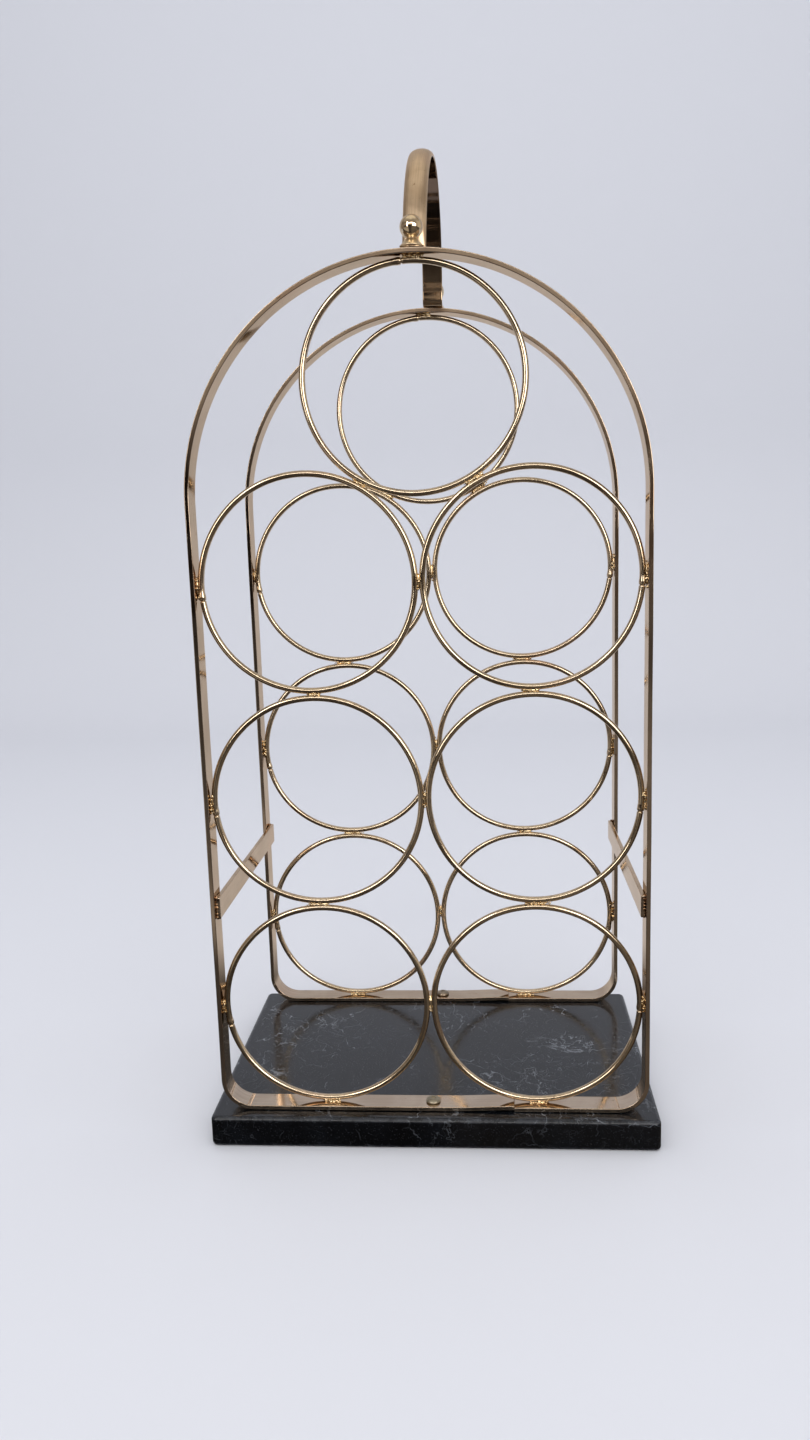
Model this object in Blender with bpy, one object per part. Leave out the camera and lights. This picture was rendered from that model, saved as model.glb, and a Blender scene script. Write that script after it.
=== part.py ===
"""Wine rack for seven bottles: two round-topped bar frames filled with wire rings, on a marble base.

The frames stand across the base, one behind the other, and two side stretchers tie them. A
half-oval handle bridges the two arch crowns. Its feet turn outwards onto the crowns, and a
turned ball finial holds each foot. One screw through the bottom run of each frame holds it
to the base. Origin: centre of the underside of the base. X is the width, +Y the rear, +Z up.
"""

import math

import bmesh
import bpy
from mathutils import Matrix, Vector

MM = 0.001
GAP = 0.3 * MM  # clearance wherever two pieces touch
WELD = 0.003 * MM  # points this close on the axis of a turned piece are one
SMOOTH_ANGLE = math.radians(40)  # edges sharper than this stay sharp

# Base slab.
SLAB_WIDTH = 228.6 * MM
SLAB_DEPTH = 152.4 * MM
SLAB_HEIGHT = 15.9 * MM
SLAB_EASE = 2.0 * MM
SLAB_EASE_STEPS = 3

# Bottle rings.
WIRE = 3.1 * MM
RING_MEAN_RADIUS = 51.7 * MM
RING_OUTER_RADIUS = RING_MEAN_RADIUS + WIRE / 2
PITCH = 2 * RING_OUTER_RADIUS + GAP
RING_STEPS = 40
WIRE_SIDES = 6

# Flat bar of the frames.
BAR_THICK = 2.2 * MM
BAR_DEPTH = 12.2 * MM
CORNER_RADIUS = 16.0 * MM  # outside of the bend at the two bottom corners
BAR_UNDER = SLAB_HEIGHT + GAP
BAR_OVER = BAR_UNDER + BAR_THICK
SEAM_X = 41.5 * MM  # the two ends of the bar meet here
SEAM_GAP = 0.4 * MM
SEAM_LIFT = 0.9 * MM  # the left end stands this much higher
SEAM_LIFT_FROM = 8.0 * MM
LIFT_STEPS = 5
CROWN_STEPS = 40
CORNER_STEPS = 6

# Rows of rings, and the frame that just holds them.
ROW_Z = [BAR_OVER + GAP + RING_OUTER_RADIUS + row * PITCH for row in range(3)]
TOP_Z = ROW_Z[2] + PITCH * math.sin(math.radians(60))
INNER_HALF = PITCH / 2 + RING_OUTER_RADIUS + GAP
CROWN_INNER_Z = TOP_Z + RING_OUTER_RADIUS + GAP
SPRING_Z = CROWN_INNER_Z - INNER_HALF
MID_RADIUS = INNER_HALF + BAR_THICK / 2
OUTER_RADIUS = INNER_HALF + BAR_THICK

# Depth positions.
FRAME_SPACING = 130.5 * MM
FRAME_SHIFT = 3.0 * MM  # the pair of frames stands this far behind the middle of the base
FRAME_Y = {"front": FRAME_SHIFT - FRAME_SPACING / 2, "rear": FRAME_SHIFT + FRAME_SPACING / 2}

# Side stretchers.
STRETCHER_THICK = 2.2 * MM
STRETCHER_HEIGHT = 11.4 * MM
STRETCHER_LENGTH = 139.0 * MM
STRETCHER_Z = 124.8 * MM
STRETCHER_EASE = 0.3 * MM

# Handle. The section is half-oval in the hoop and flat in the feet.
HANDLE_WIDTH = 11.0 * MM
HANDLE_INNER_RADIUS = 56.6 * MM
HANDLE_CENTRE_RISE = 0.4 * MM  # hoop centre above the underside of the feet
HOOP_DOME = 3.6 * MM
HOOP_SIDE = 0.5 * MM
FOOT_THICK = 0.8 * MM
FOOT_BEND = 3.7 * MM
FOOT_TIP = 70.0 * MM
HOOP_STEPS = 36
BEND_STEPS = 5
DOME_STEPS = 6
BEND_BLEND = 0.5  # how far the section has changed at the end of the bend
BLEND_STEPS = 4  # steps of the hoop in which the rest of the change is made
HANDLE_TURN = math.radians(1.7)  # the handle sits this far round the arches, to the right
HANDLE_YAW = math.radians(1.5)  # and is swung round by this much, seen from above

# Ball finials.
FINIAL_Y = 65.6 * MM  # from the middle of the handle
FINIAL_SIDE = 0.4 * MM  # off the middle of the feet, the front one to the left
BALL_RADIUS = 5.3 * MM
BALL_CENTRE = 8.35 * MM
SKIRT_RADIUS = 5.4 * MM
SKIRT_RIM = 0.3 * MM
NECK_RADIUS = 2.3 * MM
NECK_HEIGHT = 3.7 * MM
STUD_RADIUS = 1.5 * MM
STUD_LENGTH = FOOT_THICK + GAP + BAR_THICK
STUD_HOLE_RADIUS = STUD_RADIUS + GAP
TURNED_STEPS = 18
BALL_STEPS = 9

# Base screws.
HEAD_RADIUS = 3.7 * MM
HEAD_HEIGHT = 2.0 * MM
HEAD_RIM = 0.5 * MM
SHANK_RADIUS = 1.95 * MM
SHANK_LENGTH = 13.0 * MM
SCREW_HOLE_RADIUS = SHANK_RADIUS + GAP
SLAB_HOLE_DEPTH = 12.0 * MM
SOCKET_RADIUS = 1.5 * MM
SOCKET_DEPTH = 1.2 * MM
SOCKET_SIDES = 6
DOME_ROWS = 4
HOLE_SIDES = 12
CUTTER_REACH = 4.0 * MM  # how far a hole cutter stands clear of the metal it goes through


def material(name, colour, roughness, metallic):
    made = bpy.data.materials.new(name)
    made.use_nodes = True
    shader = made.node_tree.nodes["Principled BSDF"]
    shader.inputs["Base Color"].default_value = (*colour, 1.0)
    shader.inputs["Roughness"].default_value = roughness
    shader.inputs["Metallic"].default_value = metallic
    return made


BRASS = (0.52, 0.40, 0.24)
DULL_BRASS = (0.30, 0.27, 0.21)
BLACK_MARBLE = (0.018, 0.020, 0.023)


def node(name, mesh, colour=BRASS, roughness=0.3, metallic=1.0, smooth=True, parent=None):
    """A named sub-part with its own material."""
    piece = bpy.data.objects.new(name, mesh)
    bpy.context.scene.collection.objects.link(piece)
    mesh.materials.append(material(name, colour, roughness, metallic))
    if smooth:
        mesh.shade_smooth()
        mesh.set_sharp_from_angle(angle=SMOOTH_ANGLE)
    piece.parent = parent
    return piece


def mesh_from(name, bm):
    bmesh.ops.recalc_face_normals(bm, faces=bm.faces)
    mesh = bpy.data.meshes.new(name)
    bm.to_mesh(mesh)
    bm.free()
    return mesh


def loft(name, sections):
    """A closed body through a row of sections, each with the same number of corners."""
    bm = bmesh.new()
    rows = [[bm.verts.new(corner) for corner in section] for section in sections]
    count = len(rows[0])
    for near, far in zip(rows, rows[1:]):
        for i in range(count):
            j = (i + 1) % count
            bm.faces.new((near[i], near[j], far[j], far[i]))
    bm.faces.new(rows[0])
    bm.faces.new(rows[-1])
    return mesh_from(name, bm)


def turned(name, profile):
    """A body of revolution about Z from (radius, height) points that start and end on the axis."""
    bm = bmesh.new()
    corners = [bm.verts.new((radius, 0, height)) for radius, height in profile]
    edges = [bm.edges.new(pair) for pair in zip(corners, corners[1:])]
    bmesh.ops.spin(
        bm,
        geom=corners + edges,
        cent=(0, 0, 0),
        axis=(0, 0, 1),
        angle=math.tau,
        steps=TURNED_STEPS,
        use_merge=True,
    )
    bmesh.ops.remove_doubles(bm, verts=bm.verts, dist=WELD)
    return mesh_from(name, bm)


def cutter(name, radius, depth, sides, location, parent=None):
    """A hidden cylinder that stands on its location and is taken away from its neighbour."""
    bm = bmesh.new()
    bmesh.ops.create_cone(
        bm, cap_ends=True, segments=sides, radius1=radius, radius2=radius, depth=depth
    )
    bmesh.ops.translate(bm, verts=bm.verts, vec=(0, 0, depth / 2))
    tool = bpy.data.objects.new(name, mesh_from(name, bm))
    bpy.context.scene.collection.objects.link(tool)
    tool.location = location
    tool.hide_render = True
    tool.display_type = "WIRE"
    tool.parent = parent
    return tool


def cut(piece, tool):
    step = piece.modifiers.new("cut " + tool.name, "BOOLEAN")
    step.operation = "DIFFERENCE"
    step.solver = "EXACT"
    step.object = tool


def arc(centre_x, centre_z, radius, start, end, steps):
    """Path stations (x, z, outward angle) along a bend, both ends included."""
    stations = []
    for i in range(steps + 1):
        angle = math.radians(start + (end - start) * i / steps)
        x = centre_x + radius * math.cos(angle)
        z = centre_z + radius * math.sin(angle)
        stations.append((x, z, angle))
    return stations


def bar_path():
    """Middle line of the bar from the seam, to the right, over the top and back to the seam."""
    down = -math.pi / 2
    low = BAR_UNDER + BAR_THICK / 2
    bend = CORNER_RADIUS - BAR_THICK / 2
    side = MID_RADIUS - bend
    path = [(SEAM_X + SEAM_GAP / 2, low, down)]
    path += arc(side, low + bend, bend, -90, 0, CORNER_STEPS)
    path += arc(0, SPRING_Z, MID_RADIUS, 0, 180, CROWN_STEPS)
    path += arc(-side, low + bend, bend, 180, 270, CORNER_STEPS)
    end = SEAM_X - SEAM_GAP / 2
    for i in range(LIFT_STEPS + 1):
        part = i / LIFT_STEPS
        lift = SEAM_LIFT * part * part * (3 - 2 * part)
        path.append((SEAM_LIFT_FROM + (end - SEAM_LIFT_FROM) * part, low + lift, down))
    return path


def bar_section(x, z, angle):
    out = Vector((math.cos(angle), 0, math.sin(angle))) * BAR_THICK / 2
    back = Vector((0, BAR_DEPTH / 2, 0))
    middle = Vector((x, 0, z))
    return [middle + out - back, middle + out + back, middle - out + back, middle - out - back]


def make_base():
    bm = bmesh.new()
    bmesh.ops.create_cube(bm, size=1)
    bmesh.ops.scale(bm, vec=(SLAB_WIDTH, SLAB_DEPTH, SLAB_HEIGHT), verts=bm.verts)
    bmesh.ops.translate(bm, verts=bm.verts, vec=(0, 0, SLAB_HEIGHT / 2))
    base = node("marble_base", mesh_from("marble_base", bm), BLACK_MARBLE, 0.15, 0.0, False)
    ease = base.modifiers.new("eased edges", "BEVEL")
    ease.width = SLAB_EASE
    ease.segments = SLAB_EASE_STEPS
    for side, y in FRAME_Y.items():
        floor = SLAB_HEIGHT - SLAB_HOLE_DEPTH
        name = side + "_slab_hole"
        size = (SCREW_HOLE_RADIUS, 2 * SLAB_HOLE_DEPTH, HOLE_SIDES)
        cut(base, cutter(name, *size, (0, y, floor)))
    return base


def make_ring(name, x, z, arch):
    """A torus in the plane of its frame."""
    bpy.ops.mesh.primitive_torus_add(
        major_segments=RING_STEPS,
        minor_segments=WIRE_SIDES,
        major_radius=RING_MEAN_RADIUS,
        minor_radius=WIRE / 2,
    )
    ring = bpy.context.object
    ring.name = name
    ring.data.name = name
    ring.data.shade_smooth()
    ring.data.materials.append(material(name, BRASS, 0.3, 1.0))
    ring.rotation_euler.x = math.pi / 2
    ring.location = (x, 0, z)
    ring.parent = arch


def ring_places():
    """(name, x, z) of the seven rings of a frame: one on top, nested above three rows of two."""
    places = [("top", 0, TOP_Z)]
    for row, z in zip(("lower", "middle", "upper"), ROW_Z):
        places.append((row + "_left", -PITCH / 2, z))
        places.append((row + "_right", PITCH / 2, z))
    return places


def around_crown(turn):
    """Turns a piece that stands on the crown round the axis of the arch."""
    about = Matrix.Translation((0, 0, SPRING_Z))
    return about @ Matrix.Rotation(turn, 4, "Y") @ Matrix.Translation((0, 0, OUTER_RADIUS + GAP))


def handle_frame():
    """Placement of the handle: origin midway between the feet, on the line of their undersides."""
    middle = Matrix.Translation((0, FRAME_SHIFT, 0))
    return middle @ around_crown(HANDLE_TURN) @ Matrix.Rotation(-HANDLE_YAW, 4, "Z")


def finial_spot(side):
    """Where the axis of a finial meets the underside of its foot, in the handle's own frame."""
    way = -1 if side == "front" else 1
    return Vector((way * FINIAL_SIDE, way * FINIAL_Y, 0))


def handle_path():
    """Stations (y, z, direction of the domed side, blend) from the front foot to the rear one.

    The blend is 0 in the feet and 1 in the hoop. The line is the flat inner face.
    """
    reach = HANDLE_INNER_RADIUS + FOOT_BEND
    drop = FOOT_BEND - HANDLE_CENTRE_RISE
    bend_y = math.sqrt(reach * reach - drop * drop)
    start = math.degrees(math.atan2(drop, bend_y))
    half = [(-FOOT_TIP, 0.0, math.pi / 2, 0.0)]
    for i in range(BEND_STEPS + 1):
        part = i / BEND_STEPS
        angle = math.radians(-90 + (90 - start) * part)
        y = -bend_y + FOOT_BEND * math.cos(angle)
        z = FOOT_BEND + FOOT_BEND * math.sin(angle)
        half.append((y, z, angle + math.pi, BEND_BLEND * part))
    hoop = []
    for i in range(1, HOOP_STEPS):
        angle = math.radians(180 - start - (180 - 2 * start) * i / HOOP_STEPS)
        y = HANDLE_INNER_RADIUS * math.cos(angle)
        z = HANDLE_CENTRE_RISE + HANDLE_INNER_RADIUS * math.sin(angle)
        from_end = min(i, HOOP_STEPS - i)
        blend = BEND_BLEND + (1 - BEND_BLEND) * from_end / BLEND_STEPS
        hoop.append((y, z, angle, min(1.0, blend)))
    mirrored = [(-y, z, math.pi - way, blend) for y, z, way, blend in reversed(half)]
    return half + hoop + mirrored


def handle_section(y, z, way, blend):
    out = Vector((0, math.cos(way), math.sin(way)))
    across = Vector((1, 0, 0))
    foot = Vector((0, y, z))
    side = FOOT_THICK + (HOOP_SIDE - FOOT_THICK) * blend
    dome = FOOT_THICK + (HOOP_DOME - FOOT_THICK) * blend
    corners = [foot - across * HANDLE_WIDTH / 2, foot + across * HANDLE_WIDTH / 2]
    for i in range(DOME_STEPS + 1):
        angle = math.pi * i / DOME_STEPS
        height = side + (dome - side) * math.sin(angle)
        corners.append(foot + across * HANDLE_WIDTH / 2 * math.cos(angle) + out * height)
    return corners


def make_handle(base):
    mesh = loft("carry_handle", [handle_section(*station) for station in handle_path()])
    handle = node("carry_handle", mesh, parent=base)
    handle.matrix_local = handle_frame()
    for side in FRAME_Y:
        place = finial_spot(side) - Vector((0, 0, CUTTER_REACH))
        name = side + "_foot_hole"
        depth = FOOT_THICK + 2 * CUTTER_REACH
        cut(handle, cutter(name, STUD_HOLE_RADIUS, depth, HOLE_SIDES, place, handle))
    return handle


def make_finial(side, arch):
    """Ball, neck and conical skirt above the foot, and a stud down through the foot and the bar."""
    profile = [(0, -STUD_LENGTH), (STUD_RADIUS, -STUD_LENGTH), (STUD_RADIUS, 0)]
    profile += [(SKIRT_RADIUS, 0), (SKIRT_RADIUS, SKIRT_RIM)]
    profile.append((NECK_RADIUS, NECK_HEIGHT))
    low = math.asin(NECK_RADIUS / BALL_RADIUS)
    for i in range(1, BALL_STEPS + 1):
        angle = low + (math.pi - low) * i / BALL_STEPS
        radius = 0 if i == BALL_STEPS else BALL_RADIUS * math.sin(angle)
        profile.append((radius, BALL_CENTRE - BALL_RADIUS * math.cos(angle)))
    finial = node(side + "_finial", turned(side + "_finial", profile), parent=arch)
    spot = handle_frame() @ finial_spot(side)
    turn = math.asin(spot.x / (OUTER_RADIUS + GAP))
    lifted = Matrix.Translation((0, spot.y - FRAME_Y[side], 0)) @ around_crown(turn)
    finial.matrix_local = lifted @ Matrix.Translation((0, 0, FOOT_THICK + GAP))
    name = side + "_crown_hole"
    depth = BAR_THICK + 2 * CUTTER_REACH
    hole = cutter(name, STUD_HOLE_RADIUS, depth, HOLE_SIDES, (0, 0, 0), arch)
    hole.matrix_local = lifted @ Matrix.Translation((0, 0, -BAR_THICK - CUTTER_REACH))
    cut(arch, hole)


def make_screw(side, arch):
    """Button head with a six-sided socket, and a plain shank down into the base."""
    profile = [(0, -SHANK_LENGTH), (SHANK_RADIUS, -SHANK_LENGTH), (SHANK_RADIUS, 0)]
    profile += [(HEAD_RADIUS, 0), (HEAD_RADIUS, HEAD_RIM)]
    for i in range(1, DOME_ROWS + 1):
        angle = math.pi / 2 * i / DOME_ROWS
        radius = 0 if i == DOME_ROWS else HEAD_RADIUS * math.cos(angle)
        profile.append((radius, HEAD_RIM + (HEAD_HEIGHT - HEAD_RIM) * math.sin(angle)))
    name = side + "_base_screw"
    screw = node(name, turned(name, profile), DULL_BRASS, 0.45, 1.0, parent=arch)
    screw.location = (0, 0, BAR_OVER + GAP)
    socket_floor = (0, 0, HEAD_HEIGHT - SOCKET_DEPTH)
    size = (SOCKET_RADIUS, 2 * HEAD_HEIGHT, SOCKET_SIDES)
    cut(screw, cutter(side + "_socket", *size, socket_floor, screw))
    name = side + "_bar_hole"
    low = (0, 0, SLAB_HEIGHT / 2)
    cut(arch, cutter(name, SCREW_HOLE_RADIUS, SLAB_HEIGHT, HOLE_SIDES, low, arch))


def make_stretcher(side, sign, base):
    bm = bmesh.new()
    bmesh.ops.create_cube(bm, size=1)
    size = (STRETCHER_THICK, STRETCHER_LENGTH, STRETCHER_HEIGHT)
    bmesh.ops.scale(bm, vec=size, verts=bm.verts)
    bar = node(side + "_stretcher", mesh_from(side + "_stretcher", bm), smooth=False, parent=base)
    ease = bar.modifiers.new("eased edges", "BEVEL")
    ease.width = STRETCHER_EASE
    ease.segments = 1
    x = sign * (INNER_HALF - GAP - STRETCHER_THICK / 2)
    bar.location = (x, FRAME_SHIFT, STRETCHER_Z)


def make_frame(side, base):
    name = side + "_arch"
    arch = node(name, loft(name, [bar_section(*station) for station in bar_path()]), parent=base)
    arch.location.y = FRAME_Y[side]
    for place, x, z in ring_places():
        make_ring(side + "_ring_" + place, x, z, arch)
    make_screw(side, arch)
    make_finial(side, arch)


for old in list(bpy.data.objects):
    bpy.data.objects.remove(old)
marble = make_base()
for frame_side in FRAME_Y:
    make_frame(frame_side, marble)
make_stretcher("left", -1, marble)
make_stretcher("right", 1, marble)
make_handle(marble)
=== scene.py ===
"""Wine rack for seven bottles: wire rings in two flat bar frames, on a black marble base.

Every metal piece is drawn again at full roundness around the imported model: the ring wires, the
bent bars with their eased corners, the half-oval handle, the turned finials, the screws, the
side stretchers, and the brazing that holds them together. The slab is drawn again with eased
edges. Lengths are in metres.
"""

import math

import bpy
import numpy as np
from mathutils import Matrix, Vector


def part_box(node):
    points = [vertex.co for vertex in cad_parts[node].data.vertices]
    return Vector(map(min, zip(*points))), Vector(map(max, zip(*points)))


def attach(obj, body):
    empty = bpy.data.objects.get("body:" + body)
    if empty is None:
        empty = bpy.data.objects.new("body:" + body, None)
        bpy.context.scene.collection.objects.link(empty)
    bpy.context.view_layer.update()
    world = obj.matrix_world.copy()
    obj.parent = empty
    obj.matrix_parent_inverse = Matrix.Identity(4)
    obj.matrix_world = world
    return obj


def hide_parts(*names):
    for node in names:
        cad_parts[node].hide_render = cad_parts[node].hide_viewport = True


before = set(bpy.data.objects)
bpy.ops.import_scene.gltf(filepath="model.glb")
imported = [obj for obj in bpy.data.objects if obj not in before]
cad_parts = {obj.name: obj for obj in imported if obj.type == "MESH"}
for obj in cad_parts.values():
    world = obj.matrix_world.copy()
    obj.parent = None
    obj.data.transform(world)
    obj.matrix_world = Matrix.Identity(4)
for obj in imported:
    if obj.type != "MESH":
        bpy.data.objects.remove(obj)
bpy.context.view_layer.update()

MM = 0.001
TAU = 2 * np.pi
SIDES = ("front", "rear")
ROWS = ("lower", "middle", "upper")
HANDS = {"left": -1, "right": 1}
shuffle = np.random.default_rng(11)


# ---------------------------------------------------------------- mesh building

def tube_faces(rows, columns, closed):
    """Four-sided faces of a tube whose columns wrap, and the fans that close its two ends."""
    i = np.arange(rows if closed else rows - 1)[:, None]
    j = np.arange(columns)[None, :]
    ahead, beside = (i + 1) % rows, (j + 1) % columns
    here, next_row = i * columns, ahead * columns
    corners = (here + j, here + beside, next_row + beside, next_row + j)
    quads = np.stack(np.broadcast_arrays(*corners), -1).reshape(-1, 4)
    if closed:
        return quads, np.zeros((0, 3), int)
    j, beside = j[0], beside[0]
    first, last = rows * columns, rows * columns + 1
    tail = (rows - 1) * columns
    start = np.stack([np.full(columns, first), beside, j], -1)
    end = np.stack([np.full(columns, last), tail + j, tail + beside], -1)
    return quads, np.concatenate([start, end])


def volume(points, quads, fans):
    """Six times the signed volume: the sum of the corner triple products of all triangles."""
    triangles = np.concatenate([quads[:, [0, 1, 2]], quads[:, [0, 2, 3]], fans])
    a, b, c = (points[triangles[:, k]] for k in range(3))
    return np.einsum("ij,ij->", a, np.cross(b, c))


def make_piece(name, tubes, finish, marks=None, replaced=()):
    """One object from tubes, each a (rows, columns, 3) grid and whether its rows wrap too.

    An open tube is closed by a fan to the mean of its first row and of its last. The faces
    are turned outwards by the sign of the enclosed volume. Marks are numbers per point.
    """
    all_points, all_quads, all_fans, offset = [], [], [], 0
    for grid, closed in tubes:
        rows, columns = grid.shape[:2]
        points = grid.reshape(-1, 3)
        if not closed:
            points = np.concatenate([points, [grid[0].mean(0)], [grid[-1].mean(0)]])
        quads, fans = tube_faces(rows, columns, closed)
        if volume(points, quads, fans) < 0:
            quads, fans = quads[:, ::-1], fans[:, ::-1]
        all_points.append(points)
        all_quads.append(quads + offset)
        all_fans.append(fans + offset)
        offset += len(points)
    points = np.concatenate(all_points)
    faces = np.concatenate(all_quads).tolist() + np.concatenate(all_fans).tolist()
    mesh = bpy.data.meshes.new(name)
    mesh.from_pydata(points.tolist(), [], faces)
    for mark, values in (marks or {}).items():
        layer = mesh.attributes.new(mark, "FLOAT", "POINT")
        whole = np.zeros(len(points), np.float32)
        flat = np.concatenate([np.asarray(v, np.float32).reshape(-1) for v in values])
        whole[: len(flat)] = flat
        layer.data.foreach_set("value", whole)
    mesh.shade_smooth()
    mesh.materials.append(finish)
    piece = bpy.data.objects.new(name, mesh)
    bpy.context.scene.collection.objects.link(piece)
    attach(piece, "root")
    if replaced:
        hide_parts(*replaced)


def rounded_section(width, height, radius, steps=4):
    """Points of a rectangle with round corners: four quarter circles joined by straight sides.

    Each side has a point just inside each of its corners, 0.15 of the radius along it, which
    keeps the flats flat.
    """
    inside = 0.15 * radius
    turn = np.linspace(0, np.pi / 2, steps + 1)
    loop = []
    for quarter in range(4):
        way = turn + quarter * np.pi / 2
        sx = width / 2 * (1, -1, -1, 1)[quarter]
        sy = height / 2 * (1, 1, -1, -1)[quarter]
        cx = sx - math.copysign(radius, sx)
        cy = sy - math.copysign(radius, sy)
        arc = np.stack([cx + radius * np.cos(way), cy + radius * np.sin(way)], -1)
        before = arc[0] - inside * np.array([-math.sin(way[0]), math.cos(way[0])])
        after = arc[-1] + inside * np.array([-math.sin(way[-1]), math.cos(way[-1])])
        loop += [before[None], arc, after[None]]
    return np.concatenate(loop)


def carried(path, out, side, section):
    """Sweeps a flat section along a path: path + section.x * out + section.y * side."""
    across = section[None, :, 0, None] * out[:, None, :]
    return path[:, None, :] + across + section[None, :, 1, None] * side[:, None, :]


def turned(profile, steps):
    """A lathe grid: each (radius, height) of the profile goes to radius * (cos, sin), height."""
    angle = np.linspace(0, TAU, steps, endpoint=False)
    radius, height = profile[:, 0, None], profile[:, 1, None]
    x, y = radius * np.cos(angle), radius * np.sin(angle)
    return np.stack([x, y, np.broadcast_to(height, x.shape)], -1)


def placed(grid, matrix):
    """A grid carried by a 4 x 4 placement."""
    m = np.array(matrix)
    return grid @ m[:3, :3].T + m[:3, 3]


# ---------------------------------------------------------------- finishes

TARNISH = (0.20, 0.105, 0.050)
ROSE = (0.60, 0.42, 0.32)
# Dark brown painted shade, mixed into the handle's flat side up in the hoop.
PAINTED_SHADE_TONE = (0.13, 0.088, 0.065)
EDGE_TINT = (0.92, 0.80, 0.66)
STONE_DARK = (0.0008, 0.0010, 0.0016)
STONE_SMOKY = (0.0036, 0.0048, 0.0070)
STONE_WORN = (0.030, 0.034, 0.042)
VEIN_GREY = (0.26, 0.28, 0.31)


def add_node(tree, kind, settings=None, **sockets):
    """A shader node with its settings, its plain values and its links in one call.

    A socket is given by its name with _ for each space, or by _ and its number.
    """
    made = tree.nodes.new("ShaderNode" + kind)
    for key, value in (settings or {}).items():
        setattr(made, key, value)
    for key, value in sockets.items():
        socket = made.inputs[int(key[1:]) if key[1:].isdigit() else key.replace("_", " ")]
        if isinstance(value, bpy.types.NodeSocket):
            tree.links.new(value, socket)
        else:
            socket.default_value = value
    return made


def new_finish(name, **sockets):
    """A material with one Principled shader, and the plain values on its own sockets."""
    made = bpy.data.materials.new(name)
    made.use_nodes = True
    shader = made.node_tree.nodes["Principled BSDF"]
    for key, value in sockets.items():
        shader.inputs[key.replace("_", " ")].default_value = value
    return made, made.node_tree, shader


def attribute(tree, name):
    """The number that the piece's mesh holds under this name at each point."""
    return add_node(tree, "Attribute", {"attribute_name": name}).outputs["Fac"]


def noise(tree, where, scale, detail=3.0, distortion=0.0):
    """Smooth noise from 0 to 1, with scale waves to a metre and detail finer octaves."""
    made = add_node(
        tree, "TexNoise", Vector=where, Scale=scale, Detail=detail, Distortion=distortion
    )
    return made.outputs["Fac"]


def remap(tree, value, low, high, to_low=0.0, to_high=1.0):
    """A smooth step from to_low, where the value is low, to to_high, where it is high."""
    made = add_node(tree, "MapRange", {"interpolation_type": "SMOOTHSTEP"}, Value=value)
    for index, number in zip((1, 2, 3, 4), (low, high, to_low, to_high)):
        made.inputs[index].default_value = number
    return made.outputs["Result"]


def math_node(tree, operation, a, b=0.0):
    """One operation on a and b, each a socket or a plain number."""
    made = add_node(tree, "Math", {"operation": operation}, _0=a, _1=b)
    return made.outputs[0]


def blend_colours(tree, amount, a, b):
    """Linear mix of two colours, each a socket or a plain colour."""
    made = add_node(tree, "Mix", {"data_type": "RGBA"})
    for index, value in ((0, amount), (6, a), (7, b)):
        if isinstance(value, bpy.types.NodeSocket):
            tree.links.new(value, made.inputs[index])
        else:
            made.inputs[index].default_value = value
    return made.outputs[2]


def object_place(tree):
    """A point's own place on the rack, in metres."""
    return add_node(tree, "TexCoord").outputs["Object"]


def grain_place(tree, lengthwise, crosswise):
    """Coordinates stretched along the bar: arc length and place across, each scaled."""
    x = math_node(tree, "MULTIPLY", attribute(tree, "along"), lengthwise)
    y = math_node(tree, "MULTIPLY", attribute(tree, "across"), crosswise)
    return add_node(tree, "CombineXYZ", X=x, Y=y).outputs[0]


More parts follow.
